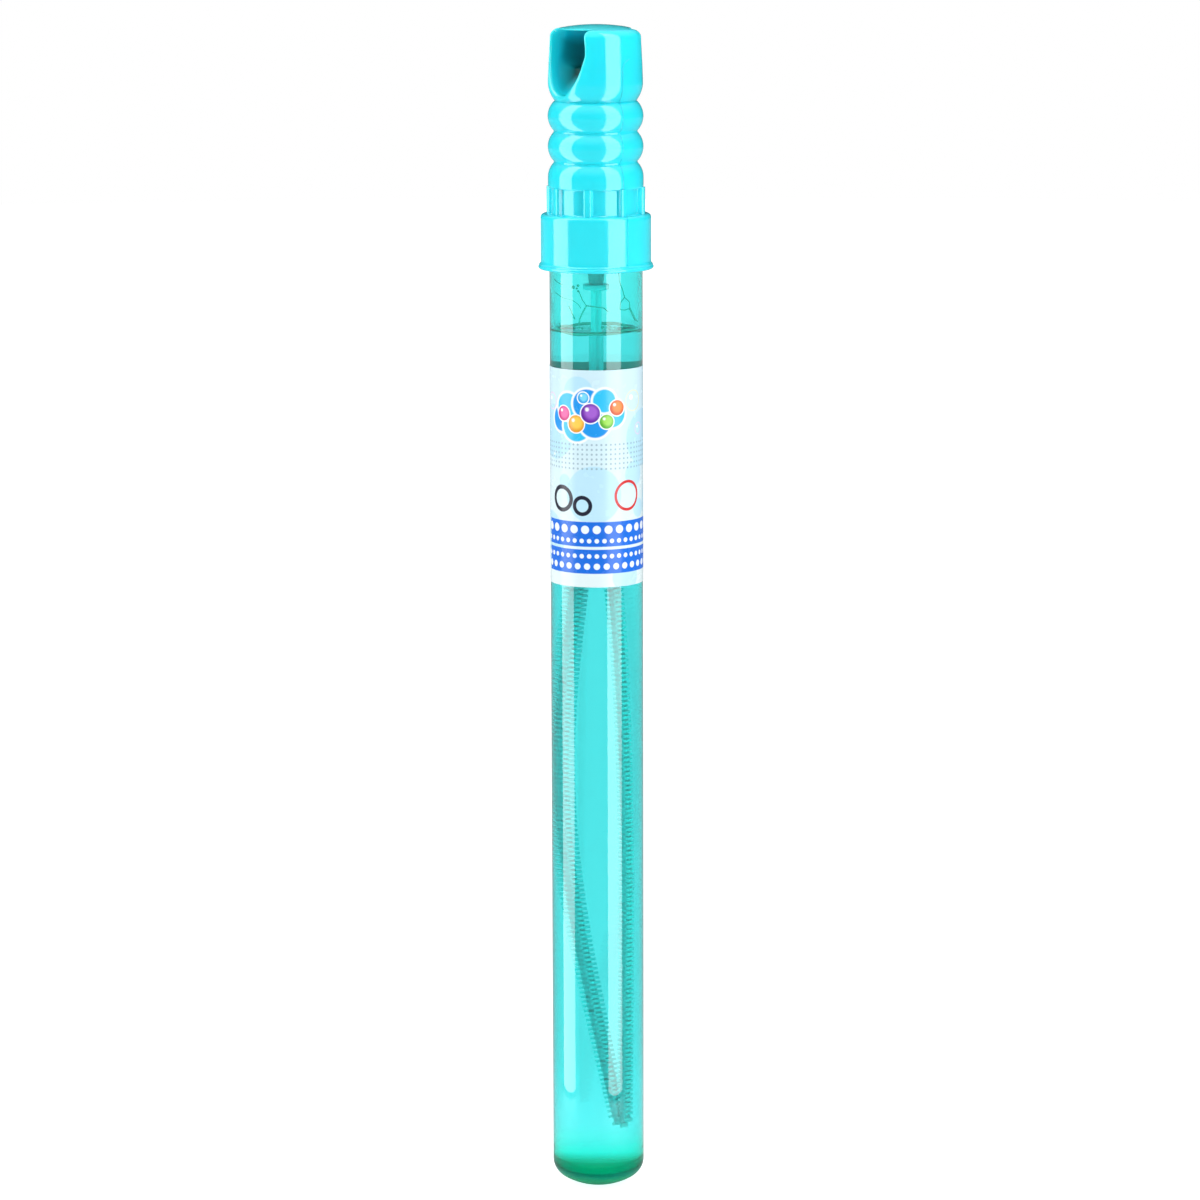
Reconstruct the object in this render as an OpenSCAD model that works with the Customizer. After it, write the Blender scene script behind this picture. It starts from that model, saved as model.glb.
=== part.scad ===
// Bubble wand: a clear round-bottomed tube of bubble solution, closed by a ringed
// handle that screws onto the neck and carries a long ridged wand inside the tube.
// Upright, millimetres. The origin is the lowest point of the tube, and +Z runs up its axis.
// The XZ plane is the handle's mould parting plane, so the hanging eye runs along Y.

/* [Tube] */
// Outer diameter of the tube
tube_d = 29; // [25:0.5:34]
// Length of the tube from its lowest point to its rim
tube_len = 307.7; // [250:0.1:360]
// Wall thickness of the tube
tube_wall = 1.2; // [0.8:0.1:2]
// Thickness of the tube's floor
tube_floor = 3.2; // [2:0.1:5]
// Height of the rounded bottom
dome_h = 8.4; // [7:0.1:13]
// Corner radius where the rounded bottom meets the wall
dome_corner_r = 6; // [4:0.1:6.5]
// Length of the neck that the handle screws over
neck_len = 14.4; // [10:0.1:18]
// How far the neck lies inside the tube's outer surface
neck_step = 0.2; // [0.1:0.05:0.4]

/* [Label] */
// Height of the wrap-around label
label_h = 68; // [40:1:100]
// Distance from the handle's lower edge down to the label
label_drop = 30.2; // [10:0.1:60]
// Thickness of the label film
label_t = 0.1; // [0.06:0.01:0.3]
// Open seam between the label's two ends
label_seam = 1.6; // [0.5:0.1:6]

/* [Handle skirt] */
// Height of the skirt that covers the neck
skirt_h = 17.1; // [15:0.1:24]
// Wall thickness of the skirt
skirt_wall = 1.4; // [1:0.1:2.2]
// Room between neck and skirt for the screw thread
thread_room = 1.45; // [1.2:0.05:2]
// Thickness of the shoulder above the neck
shoulder_t = 1.6; // [1.2:0.1:2.4]
// Radius of the skirt's upper corner
skirt_corner_r = 1.1; // [0.6:0.1:1.3]
// How far the rolled lip stands out of the skirt
lip_out = 0.75; // [0.4:0.05:1.2]
// Height of the rolled lip
lip_h = 1.3; // [0.8:0.1:2]

/* [Handle grip] */
// Height of the ribbed waist above the skirt
waist_h = 8.1; // [6:0.1:12]
// Diameter of the waist between its ribs
waist_d = 27.4; // [26.5:0.1:28.5]
// Diameter over the ribs
rib_d = 30.8; // [29.8:0.1:32]
// Number of ribs
rib_count = 8; // [4:1:12]
// Width of a rib at its outer face
rib_w = 2.2; // [1.4:0.1:3]
// Slope added to each side of a rib at its root
rib_flare = 0.5; // [0:0.1:1]
// Diameter of the grip rings
ring_d = 29.6; // [28.5:0.1:31]
// Diameter at the grooves between the rings
groove_d = 25.5; // [24.5:0.1:26.5]
// Distance from ring to ring
ring_pitch = 9.4; // [8.5:0.1:11]
// Number of rings, the lowest one running into the waist
ring_count = 3; // [2:1:4]
// Height of the straight edge under the lowest ring
ring_edge_h = 3.2; // [1:0.1:4]
// Wall thickness at the grooves
handle_wall = 1.9; // [1.4:0.1:2.6]

/* [Handle head] */
// Height of the head above the last groove
head_h = 23.4; // [21:0.1:30]
// Diameter at the foot of the head
head_foot_d = 29.4; // [28.5:0.1:31]
// Diameter at the top of the head
head_top_d = 28.8; // [28:0.1:30]
// Height of the cone that widens the head out of the groove
head_cone_h = 3.4; // [2:0.1:4.2]
// Corner radius round the top
head_corner_r = 3.8; // [2:0.1:4.2]
// Rise of the crowned top
crown_rise = 1.3; // [0.4:0.1:2]
// Thickness of the roof over the hanging eye
eye_roof = 1.5; // [1.2:0.1:2.4]
// Width of the hanging eye
eye_w = 16.4; // [10:0.2:17]
// Height of the hanging eye
eye_h = 12; // [9:0.1:14]
// Corner radius of the hanging eye's floor
eye_corner_r = 4; // [2:0.1:4.4]
// Diameter of the scoops that lead into the eye
scoop_d = 20; // [18:0.1:21]
// Depth of the scoops below the roof
scoop_h = 20; // [17:0.1:20.4]
// Distance of each scoop's centre from the handle's axis
scoop_reach = 11; // [10:0.1:12]

/* [Inner plug] */
// Thickness of the plug's flange
flange_t = 1.4; // [1:0.1:2]
// Height of the ring that presses up into the handle
plug_ring_h = 7; // [4:0.1:10]
// Wall thickness of the plug's rings
plug_wall = 1.3; // [1:0.1:2]
// Depth of the ring that closes the tube's mouth
mouth_ring_h = 4; // [2:0.1:6]
// Length of the tapered socket under the flange
socket_len = 19; // [14:0.1:22]
// Diameter of the socket at the flange
socket_top_d = 8.4; // [7:0.1:10]
// Diameter of the socket at its lower end
socket_tip_d = 4.6; // [4.2:0.1:6]
// Thickness of the sealing washer
seal_t = 1; // [0.6:0.1:2]

/* [Wand] */
// Diameter of the spigot that is pressed into the socket
spigot_d = 2.6; // [2:0.1:3]
// Length of the spigot
spigot_len = 13; // [8:0.1:13.5]
// Diameter of the collar
collar_d = 8.3; // [6:0.1:10]
// Thickness of the collar
collar_t = 1.7; // [1:0.1:2.5]
// Width of the cross-shaped stem
stem_w = 3.6; // [2.8:0.1:4.5]
// Thickness of the stem's webs
stem_web = 1.3; // [1:0.1:1.8]
// Length of the loop between the centres of its two ends
loop_len = 204; // [120:1:210]
// Thickness of the loop
loop_t = 2.6; // [2:0.1:3.2]
// Width of the loop's spine
spine_w = 2.2; // [1.8:0.1:2.8]
// Length of the comb ridges on each side of the spine
ridge_len = 1.4; // [0.8:0.1:1.6]
// Distance from ridge to ridge
ridge_pitch = 1.5; // [1.2:0.1:3]
// Radius of the spine's centre line at the loop's ends
loop_end_r = 1.6; // [1.5:0.1:2]
// Gap left between the wand's tip and the tube's floor
tip_gap = 17; // [8:0.1:30]
// Turn of the loop from the handle's parting plane, in degrees
loop_turn = 15; // [0:1:45]

/* [Fits] */
// Gap kept round pieces that are pushed together by hand
press_gap = 0.05; // [0.02:0.01:0.1]
// Gap between the plug's mouth ring and the tube
mouth_gap = 0.3; // [0.2:0.05:0.5]
// Glue line under the label
label_gap = 0.02; // [0.01:0.01:0.05]
// Gap kept between the loop and the tube's wall
loop_gap = 1; // [0.6:0.1:2]

/* [Hidden] */
$fn = 96;

// Overrun of every cut past the face that it opens
over = 1;
// Share of the gap between two ridges that a ridge fills
ridge_fill_share = 0.5;
// Share of the free room that the loop's tip leans sideways, as it hangs in the tube
lean_share = 1;
// Share of the loop's length, from its lower end, over which it leans
lean_len_share = 0.66;
// Narrowest width left between facing ridges near the loop's ends
slit_w = 0.8;
// Steps that draw the quarter outline of a scoop
scoop_steps = 18;
// Steps that draw the rounded end of the loop
end_ridges = 6;

tube_r = tube_d / 2;
bore_r = tube_r - tube_wall;
dome_r = ((tube_r - dome_corner_r) ^ 2 + dome_h ^ 2 - dome_corner_r ^ 2) / (2 * (dome_h - dome_corner_r));
neck_z = tube_len - neck_len;

seal_z = tube_len;
flange_z = seal_z + seal_t;
shoulder_z = flange_z + flange_t;
skirt_top_z = shoulder_z + shoulder_t;
skirt_z = skirt_top_z - skirt_h;
thread_bore_r = tube_r - neck_step + thread_room;
skirt_r = thread_bore_r + skirt_wall;
waist_top_z = skirt_top_z + waist_h;
low_ring_z = waist_top_z + ring_edge_h;
head_z = low_ring_z + (ring_count - 1 / 2) * ring_pitch;
top_z = head_z + head_h;
hollow_r = groove_d / 2 - handle_wall;
eye_z = top_z - eye_roof;
hollow_top_z = min(head_z, eye_z - scoop_h - handle_wall);
ring_depth = (ring_d - groove_d) / 2;
ring_arc_r = (ring_pitch ^ 2 / 4 + ring_depth ^ 2) / (2 * ring_depth);
crown_edge_r = head_top_d / 2 - head_corner_r;
crown_r = (crown_edge_r ^ 2 + crown_rise ^ 2) / (2 * crown_rise);

collar_z = flange_z - socket_len - collar_t;
half_spine = spine_w / 2;
end_reach = loop_end_r + half_spine + ridge_len;
tip_z = tube_floor + tip_gap;
loop_low_z = tip_z + end_reach;
loop_high_z = loop_low_z + loop_len;
loop_reach = bore_r - loop_gap;
loop_mid_r = loop_reach - half_spine - ridge_len;
lean = lean_share * (loop_reach - end_reach);
lean_len = lean_len_share * loop_len;
ridge_count = round(loop_len / ridge_pitch);

// Outline of a round-bottomed tube, standing on its lowest point, drawn inset from the outer one
module tube_outline(inset, height) {
  corner_x = tube_r - dome_corner_r;
  cap_r = dome_r - inset;
  corner_r = dome_corner_r - inset;
  tangent_x = corner_x * cap_r / (dome_r - dome_corner_r);
  intersection() {
    translate([0, dome_r]) circle(cap_r);
    square([tangent_x, dome_h]);
  }
  intersection() {
    translate([corner_x, dome_h]) circle(corner_r);
    translate([corner_x, 0]) square([dome_corner_r, dome_h]);
  }
  translate([0, dome_h]) square([tube_r - inset, height - dome_h]);
}

module tube() {
  color([0.25, 0.85, 0.85, 0.45]) difference() {
    rotate_extrude() tube_outline(0, tube_len);
    translate([0, 0, tube_floor - tube_wall])
      rotate_extrude() tube_outline(tube_wall, tube_len);
    translate([0, 0, neck_z]) difference() {
      cylinder(r = tube_r + over, h = neck_len + over);
      cylinder(r = tube_r - neck_step, h = neck_len + over);
    }
  }
}

module label() {
  inner_r = tube_r + label_gap;
  color("aliceblue") translate([0, 0, skirt_z - label_drop - label_h]) difference() {
    cylinder(r = inner_r + label_t, h = label_h);
    translate([0, 0, -over]) cylinder(r = inner_r, h = label_h + 2 * over);
    translate([-inner_r - label_t - over, -label_seam / 2, -over])
      cube([inner_r, label_seam, label_h + 2 * over]);
  }
}

// Rolled lip, skirt and its rounded upper corner
module skirt_outline() {
  translate([0, skirt_z]) {
    square([skirt_r, skirt_h - skirt_corner_r]);
    square([skirt_r - skirt_corner_r, skirt_h]);
    translate([skirt_r - skirt_corner_r, skirt_h - skirt_corner_r]) circle(skirt_corner_r);
    square([skirt_r + lip_out - lip_h / 2, lip_h]);
    translate([skirt_r + lip_out - lip_h / 2, lip_h / 2]) circle(lip_h / 2);
  }
}

// Waist and the rings above it, each ring an arc that meets the next in a groove
module grip_outline() {
  translate([0, skirt_z]) square([waist_d / 2, waist_top_z - skirt_z]);
  translate([0, waist_top_z]) square([groove_d / 2, head_z - waist_top_z]);
  translate([0, waist_top_z]) square([ring_d / 2, ring_edge_h]);
  for (i = [0:ring_count - 1]) intersection() {
    translate([ring_d / 2 - ring_arc_r, low_ring_z + i * ring_pitch]) circle(ring_arc_r);
    translate([0, low_ring_z + (i - 1 / 2) * ring_pitch]) square([ring_d, ring_pitch]);
    translate([0, waist_top_z]) square([ring_d, head_z - waist_top_z]);
  }
}

// Head: a cone out of the groove, a slightly tapered side, a round corner and a crowned top
module head_outline() {
  side_z = top_z - crown_rise - head_corner_r;
  polygon([
    [0, head_z],
    [groove_d / 2, head_z],
    [head_foot_d / 2, head_z + head_cone_h],
    [head_top_d / 2, side_z],
    [0, side_z]
  ]);
  translate([crown_edge_r, side_z]) circle(head_corner_r);
  translate([0, side_z]) square([crown_edge_r, head_corner_r]);
  intersection() {
    translate([0, top_z - crown_r]) circle(crown_r);
    translate([0, side_z]) square([crown_edge_r, top_z - side_z]);
  }
}

module ribs() {
  root_w = rib_w + 2 * rib_flare;
  for (i = [0:rib_count - 1])
    rotate([0, 0, i * 360 / rib_count]) translate([0, 0, shoulder_z]) linear_extrude(waist_h + shoulder_t)
      polygon([
        [hollow_r + handle_wall / 2, -root_w / 2],
        [waist_d / 2, -root_w / 2],
        [rib_d / 2, -rib_w / 2],
        [rib_d / 2, rib_w / 2],
        [waist_d / 2, root_w / 2],
        [hollow_r + handle_wall / 2, root_w / 2]
      ]);
}

// Passage of the hanging eye, flat under the roof, with round corners at its floor
module eye_outline() {
  translate([-eye_w / 2, eye_corner_r - eye_h]) square([eye_w, eye_h - eye_corner_r]);
  translate([eye_corner_r - eye_w / 2, -eye_h]) square([eye_w - 2 * eye_corner_r, eye_h]);
  for (side = [-1, 1])
    translate([side * (eye_w / 2 - eye_corner_r), eye_corner_r - eye_h]) circle(eye_corner_r);
}

// Quarter ellipse, wide at the top and closing downwards
module scoop_outline() {
  polygon(concat(
    [[0, 0]],
    [for (i = [0:scoop_steps])
      [scoop_d / 2 * cos(90 * i / scoop_steps), -scoop_h * sin(90 * i / scoop_steps)]]
  ));
}

// The hanging eye: a passage along Y with a round scoop at each mouth, open above at the head's round edge
module eye() {
  translate([0, 0, eye_z]) {
    rotate([90, 0, 0]) linear_extrude(2 * scoop_reach, center = true) eye_outline();
    for (side = [-1, 1]) translate([0, side * scoop_reach, 0]) rotate_extrude() scoop_outline();
  }
}

module handle() {
  color("darkturquoise") difference() {
    union() {
      rotate_extrude() {
        skirt_outline();
        grip_outline();
        head_outline();
      }
      ribs();
    }
    translate([0, 0, skirt_z - over]) cylinder(r = thread_bore_r, h = shoulder_z - skirt_z + over);
    translate([0, 0, skirt_z]) cylinder(r = hollow_r, h = hollow_top_z - skirt_z);
    eye();
  }
}

module seal_washer() {
  neck_r = tube_r - neck_step;
  color("white") translate([0, 0, seal_z]) ring(neck_r, neck_r - bore_r, seal_t);
}

// A plain ring standing on the XY plane
module ring(outer_r, wall, height) {
  difference() {
    cylinder(r = outer_r, h = height);
    translate([0, 0, -over]) cylinder(r = outer_r - wall, h = height + 2 * over);
  }
}

// Plug that closes the hollow handle, centres it in the tube's mouth and holds the wand
module inner_plug() {
  ring_r = hollow_r - press_gap;
  mouth_r = bore_r - mouth_gap;
  socket_z = flange_z - socket_len;
  color("darkturquoise") difference() {
    union() {
      translate([0, 0, flange_z]) cylinder(r = thread_bore_r - press_gap, h = flange_t);
      translate([0, 0, shoulder_z]) ring(ring_r, plug_wall, plug_ring_h);
      translate([0, 0, flange_z - mouth_ring_h]) ring(mouth_r, plug_wall, mouth_ring_h);
      translate([0, 0, socket_z]) cylinder(d1 = socket_tip_d, d2 = socket_top_d, h = socket_len);
    }
    translate([0, 0, socket_z - over]) cylinder(d = spigot_d + 2 * press_gap, h = spigot_len + over);
  }
}

function lean_at(z) = lean * max(0, 1 - (z - loop_low_z) / lean_len) ^ 2;
function half_at(share) = loop_end_r + (loop_mid_r - loop_end_r) * sin(180 * share);

// Point on a limb's centre line: side is -1 or 1, share runs from the loop's upper end to its lower one
function limb(side, share) =
  let (z = loop_high_z - loop_len * share) [side * half_at(share) + lean_at(z), z];

// Unit vector out of the loop at that point
function limb_out(side, share) =
  let (step = 1 / ridge_count, a = limb(side, share - step), b = limb(side, share + step), d = b - a)
    side * [-d[1], d[0]] / norm(d);

// The four corners of one ridge, in order down the limb: reach is measured from the spine's centre line
function ridge(side, i, base, reach) = [
  for (corner = [[-1, 0], [-1, 1], [1, 1], [1, 0]])
    let (share = (i + 1 / 2 + corner[0] * ridge_fill_share / 2) / ridge_count)
      limb(side, share) + limb_out(side, share) * (base + corner[1] * reach)
];

function inner_ridge_len(i) =
  min(ridge_len, half_at((i + 1 / 2) / ridge_count) - half_spine - slit_w / 2);

function outer_limb(side) = [for (i = [0:ridge_count - 1]) each ridge(side, i, half_spine, ridge_len)];
function inner_limb(side) = [for (i = [0:ridge_count - 1]) each ridge(side, i, -half_spine, -inner_ridge_len(i))];
function reversed(points) = [for (i = [len(points) - 1:-1:0]) points[i]];

// Ridges round the loop's lower end, and the plain arc round its upper end
function lower_end() = [
  for (i = [0:end_ridges - 1], corner = [[0, 0], [0, 1], [1, 1], [1, 0]])
    let (
      angle = -180 * (i + 1 / 2 + (corner[0] - 1 / 2) * ridge_fill_share) / end_ridges,
      r = loop_end_r + half_spine + corner[1] * ridge_len
    ) [lean_at(loop_low_z) + r * cos(angle), loop_low_z + r * sin(angle)]
];
function upper_end() = [
  for (i = [0:end_ridges]) let (angle = 180 - 180 * i / end_ridges, r = loop_end_r + half_spine)
    [r * cos(angle), loop_high_z + r * sin(angle)]
];

module loop() {
  lower_apex = [lean_at(loop_low_z), loop_low_z - half_spine / 2];
  upper_apex = [0, loop_high_z + half_spine / 2];
  rotate([90, 0, 0]) linear_extrude(loop_t, center = true) difference() {
    polygon(concat(outer_limb(1), lower_end(), reversed(outer_limb(-1)), upper_end()));
    polygon(concat(inner_limb(1), [lower_apex], reversed(inner_limb(-1)), [upper_apex]));
  }
}

module wand() {
  color("lightseagreen") {
    translate([0, 0, collar_z + collar_t]) cylinder(d = spigot_d, h = spigot_len);
    translate([0, 0, collar_z]) cylinder(d = collar_d, h = collar_t);
    rotate([0, 0, loop_turn]) {
      for (turn = [0, 90]) rotate([0, 0, turn])
        translate([-stem_w / 2, -stem_web / 2, loop_high_z + loop_end_r])
          cube([stem_w, stem_web, collar_z - loop_high_z - loop_end_r]);
      loop();
    }
  }
}

tube();
label();
seal_washer();
handle();
inner_plug();
wand();
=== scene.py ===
"""Looks of the bubble wand: clear tube of foaming solution, label, ringed handle and ridged wand."""
import math
import random

import bmesh
import bpy
import numpy as np
from mathutils import Matrix, Vector


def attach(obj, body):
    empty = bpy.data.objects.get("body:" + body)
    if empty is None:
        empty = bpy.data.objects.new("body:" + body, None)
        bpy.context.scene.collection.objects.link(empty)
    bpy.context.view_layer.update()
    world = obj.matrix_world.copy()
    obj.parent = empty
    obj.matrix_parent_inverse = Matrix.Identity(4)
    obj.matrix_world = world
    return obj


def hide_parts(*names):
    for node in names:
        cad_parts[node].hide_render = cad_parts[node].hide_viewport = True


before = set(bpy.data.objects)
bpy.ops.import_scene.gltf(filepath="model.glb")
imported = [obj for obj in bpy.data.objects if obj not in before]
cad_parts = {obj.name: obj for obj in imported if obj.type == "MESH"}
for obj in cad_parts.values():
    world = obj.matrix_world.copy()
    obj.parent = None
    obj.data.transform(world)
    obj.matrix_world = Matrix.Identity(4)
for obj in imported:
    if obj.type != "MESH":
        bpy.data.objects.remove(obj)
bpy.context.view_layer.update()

MM = 0.001
WHITE = (1, 1, 1, 1)
ROUND_SEGMENTS = 160

# View of the photograph
VIEW_AZIMUTH = 55.0
VIEW_ELEVATION = 10.0
VIEW_DISTANCE = 1.490
VIEW_AIM_Z = 0.1899
VIEW_LENS = 142.14
VIEW_SENSOR = 36.0
VIEW_SHIFT_X = 0.0025
VIEW_ROLL = 0.17

# Studio: both lamps are alike, with sizes in metres and their spread in degrees
FLOOR_R = 3500
FLOOR_GLOW = 0.88
SOFTBOX_RIGHT_TURN = 42
SOFTBOX_LEFT_TURN = -75
SOFTBOX_SPREAD = 36
SOFTBOX_DISTANCE = 0.12
SOFTBOX_H = 1.0
SOFTBOX_RADIANCE = 3.0
SOFTBOX_FLOOR_GAP = 0.002

# Moulded plastic
NOISE_SPAN = (0.3, 0.7)
CLOUD_SCALE = 60.0
CLOUD_DETAIL = 3.0
GLOSS_SCALE = 240.0
GRAIN_SCALE = 1800.0
GRAIN_STRENGTH = 0.05
GRAIN_DEPTH = 0.00005

# Tube, in millimetres as in the CAD source
TUBE_R = 14.5
TUBE_BORE_R = 13.3
TUBE_LEN = 307.7
TUBE_FLOOR = 3.2
TUBE_WALL = TUBE_R - TUBE_BORE_R
DOME_R = 22.25
DOME_CORNER_R = 6.0
DOME_H = 8.4
NECK_Z = 295.4
NECK_R = 14.3
GREEN_LOW_Z = 3.0
GREEN_HIGH_Z = 8.0
GLOW_LOW_Z = 7.5
GLOW_HIGH_Z = 19.0

# Liquid
LIQUID_Z = 275.2
LIQUID_SEAT = 0.25
MENISCUS_RISE = 0.8
MENISCUS_REACH = 0.6
FOAM_RING_R = 12.7
FOAM_RING_BEAD = 0.55
FOAM_RING_STEPS = 120
FOAM_WALL_R = TUBE_BORE_R - 0.3
SMALL_BUBBLES = 26

# Label
LABEL_LOW_Z = 196.4
LABEL_H = 68.0
LABEL_IN_R = 14.52
LABEL_OUT_R = 14.62
LABEL_SEAM = 1.6
LABEL_SEGMENTS = 144

# Handle
SKIRT_Z = 294.6
SKIRT_R = 17.15
SKIRT_TOP_Z = 311.7
SKIRT_CORNER_R = 1.1
THREAD_BORE_R = 15.75
SHOULDER_Z = 310.1
LIP_R = 17.9
LIP_H = 1.3
LIP_FILLET_R = 0.9
MOUTH_CHAMFER = 0.3
WAIST_R = 13.7
WAIST_TOP_Z = 319.8
WAIST_FOOT_R = 0.6
WAIST_HEAD_R = 0.3
RIB_COUNT = 8
RIB_R = 15.4
RIB_W = 2.2
RIB_FLARE = 0.5
RIB_SINK = 0.8
RIB_CORNER = 0.6
RING_R = 14.8
GROOVE_R = 12.75
RING_PITCH = 9.4
LOW_RING_Z = 323.0
RING_COUNT = 3
RING_EDGE_R = 0.35
HEAD_Z = 346.5
HEAD_FOOT_R = 14.7
HEAD_TOP_R = 14.4
HEAD_CONE_H = 3.4
HEAD_CORNER_R = 2.6
CROWN_R = 60.0
HEAD_FOOT_REACH = 2.4
HEAD_GRID = 0.4
TOP_Z = 369.9
HOLLOW_R = 10.85
EYE_Z = 368.4
EYE_HALF_W = 8.2
EYE_H = 12.0
EYE_CORNER_R = 4.0
SCOOP_R = 10.0
SCOOP_H = 20.0
SCOOP_REACH = 11.0
MOUTH_CLOSING = 0.14
MOUTH_CLOSING_Z = 361
MOUTH_CLOSING_H = 8
MOUTH_CLOSING_W = 4
MOUTH_BLEND = 0.5
ROOF_BLEND = 0.4
LIP_BLEND_Z = (350, 358, 366)
LIP_BLEND = (2.6, 1.1, 0.9)
# Painted shade in the eye: it begins this deep below the head's outline, is full this much deeper, and
# faces past EYE_SHADE take the shaded eye material
SHADE_START = 2.5
SHADE_DEPTH = 6
EYE_SHADE = 0.02
PARTING_LINE_R = 0.14
PARTING_LINE_Z = 357.4

# Hook at the parting line's upper end: rise in millimetres and turn in degrees
PARTING_HOOK = ((0, 0), (0.9, 2), (1.6, 5), (2.2, 8.5), (2.6, 12))

# Screw thread, with a hair of room between the neck's crest and the skirt's
THREAD_PITCH = 3.5
THREAD_LOW_Z = 296.5
THREAD_TURNS = 2.2
NECK_CREST_R = 14.98
SKIRT_CREST_R = 15.07
NECK_BEAD = 0.6
SKIRT_BEAD = 0.55
THREAD_STEPS = 140

# Wand
SPIGOT_R = 1.3
SPIGOT_LEN = 13.0
COLLAR_R = 4.15
COLLAR_Z = 288.0
COLLAR_T = 1.7
COLLAR_EDGE_R = 0.4
STEM_W = 3.6
STEM_WEB = 1.3
STEM_CHAMFER = 0.15
LOOP_TURN = math.radians(15)
LOOP_LOW_Z = 24.3
LOOP_LEN = 204.0
LOOP_END_R = 1.6
LOOP_SWELL = 8.2
LOOP_LEAN = 8.2
LEAN_LEN = 0.66 * LOOP_LEN
SPINE_W = 2.2
RIDGE_LEN = 1.4
RIDGE_PITCH = 1.5
RIDGE_T = 0.75
LOOP_T = 2.6
LOOP_ROUND = 0.35
SLIT_W = 0.8
LIMB_STEPS = 136
LOOP_END_STEPS = 8

# Foam: borders of large bubbles along the near wall as (right of the axis, height) points and a bead
# radius, and single bubbles as (right of the axis, height, radius)
FOAM_BORDERS = (
    ([(-5.1, 288.6), (-4.2, 286.2), (-2.9, 284.3)], 0.16),
    ([(-2.9, 284.3), (-0.5, 284.0), (2.4, 283.6), (3.6, 282.4)], 0.18),
    ([(-2.9, 284.3), (-4.0, 282.3), (-4.9, 280.2), (-5.2, 278.4)], 0.22),
    ([(7.3, 296.0), (6.7, 294.6), (6.9, 293.0), (6.9, 291.8), (7.9, 289.0), (8.5, 286.6)], 0.15),
    (
        [(8.5, 286.6), (7.2, 284.9), (7.1, 282.9), (8.6, 282.6), (10.0, 283.0), (9.9, 285.0), (8.5, 286.6)],
        0.16,
    ),
    ([(10.0, 283.0), (11.0, 280.6), (11.6, 279.2), (12.6, 278.3)], 0.26),
    ([(-12.6, 291.6), (-11.2, 290.8), (-9.8, 290.3)], 0.15),
    ([(-12.4, 287.8), (-10.0, 286.4), (-7.0, 285.8), (-5.3, 284.6), (-4.6, 283.4)], 0.12),
    ([(-8.2, 284.0), (-7.2, 281.8), (-6.4, 280.0)], 0.2),
)
FOAM_BUBBLES = (
    (-6.9, 289.8, 0.55), (-5.4, 290.4, 0.42), (-5.8, 289.5, 0.32), (-5.4, 288.7, 0.36), (8.5, 287.0, 0.2),
)


def arc(centre_r, centre_z, radius, start, end, steps):
    """Points of an arc in a turned outline, with angles in degrees from the outward direction."""
    angles = [math.radians(start + (end - start) * i / steps) for i in range(steps + 1)]
    return [(centre_r + radius * math.cos(a), centre_z + radius * math.sin(a)) for a in angles]


def line(start, end, steps):
    """Points from start up to, and without, end."""
    return [tuple(a + (b - a) * i / steps for a, b in zip(start, end)) for i in range(steps)]


def supported(outline, near=0.4):
    """Adds points close to the ends of long stretches, so that their shading stays straight."""
    points = [outline[0]]
    for start, end in zip(outline, outline[1:]):
        length = math.dist(start, end)
        if length > 4 * near:
            for share in (near / length, 1 - near / length):
                points.append(tuple(a + (b - a) * share for a, b in zip(start, end)))
        points.append(end)
    return points


def softened(before, corner, after, reach, steps):
    """A corner of an outline drawn as a curve that leaves it at the given distance on both sides."""
    corner = Vector(corner)
    start = corner + (Vector(before) - corner).normalized() * reach
    end = corner + (Vector(after) - corner).normalized() * reach
    curve = []
    for i in range(steps + 1):
        t = i / steps
        curve.append(tuple(start * (1 - t) ** 2 + corner * 2 * t * (1 - t) + end * t ** 2))
    return curve


def linked_object(name, mesh):
    """A smooth-shaded object of a mesh."""
    mesh.polygons.foreach_set("use_smooth", [True] * len(mesh.polygons))
    made = bpy.data.objects.new(name, mesh)
    bpy.context.scene.collection.objects.link(made)
    return made


def mesh_object(name, bm):
    """An object of a bmesh whose sizes are in millimetres."""
    bmesh.ops.scale(bm, vec=(MM, MM, MM), verts=bm.verts)
    mesh = bpy.data.meshes.new(name)
    bm.to_mesh(mesh)
    bm.free()
    return linked_object(name, mesh)


def points_object(name, points, edges=(), faces=()):
    """An object of plain points, edges and faces in millimetres."""
    mesh = bpy.data.meshes.new(name)
    mesh.from_pydata([Vector(p) * MM for p in points], edges, faces)
    return linked_object(name, mesh)


def chain_object(name, points, closed=False):
    """An object of one chain of edges."""
    edges = [(i, i + 1) for i in range(len(points) - 1)]
    if closed:
        edges.append((len(points) - 1, 0))
    return points_object(name, points, edges)


def store(piece, name, values):
    """Keeps one number per point of a piece."""
    piece.data.attributes.new(name, "FLOAT", "POINT").data.foreach_set("value", values)


def turned(outline, segments, closed=False):
    """A bmesh turned round Z from (r, z) points; ends on the axis become poles."""
    bm = bmesh.new()
    rings = []
    for r, z in outline:
        if r < 1e-6:
            rings.append([bm.verts.new((0, 0, z))])
        else:
            turn = [2 * math.pi * i / segments for i in range(segments)]
            rings.append([bm.verts.new((r * math.cos(a), r * math.sin(a), z)) for a in turn])
    pairs = list(zip(rings, rings[1:]))
    if closed:
        pairs.append((rings[-1], rings[0]))
    for lower, upper in pairs:
        for i in range(segments):
            j = (i + 1) % segments
            corners = [lower[i % len(lower)], lower[j % len(lower)]]
            corners += [upper[j % len(upper)], upper[i % len(upper)]]
            face = list(dict.fromkeys(corners))
            if len(face) > 2:
                bm.faces.new(face)
    bmesh.ops.recalc_face_normals(bm, faces=bm.faces)
    return bm


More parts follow.
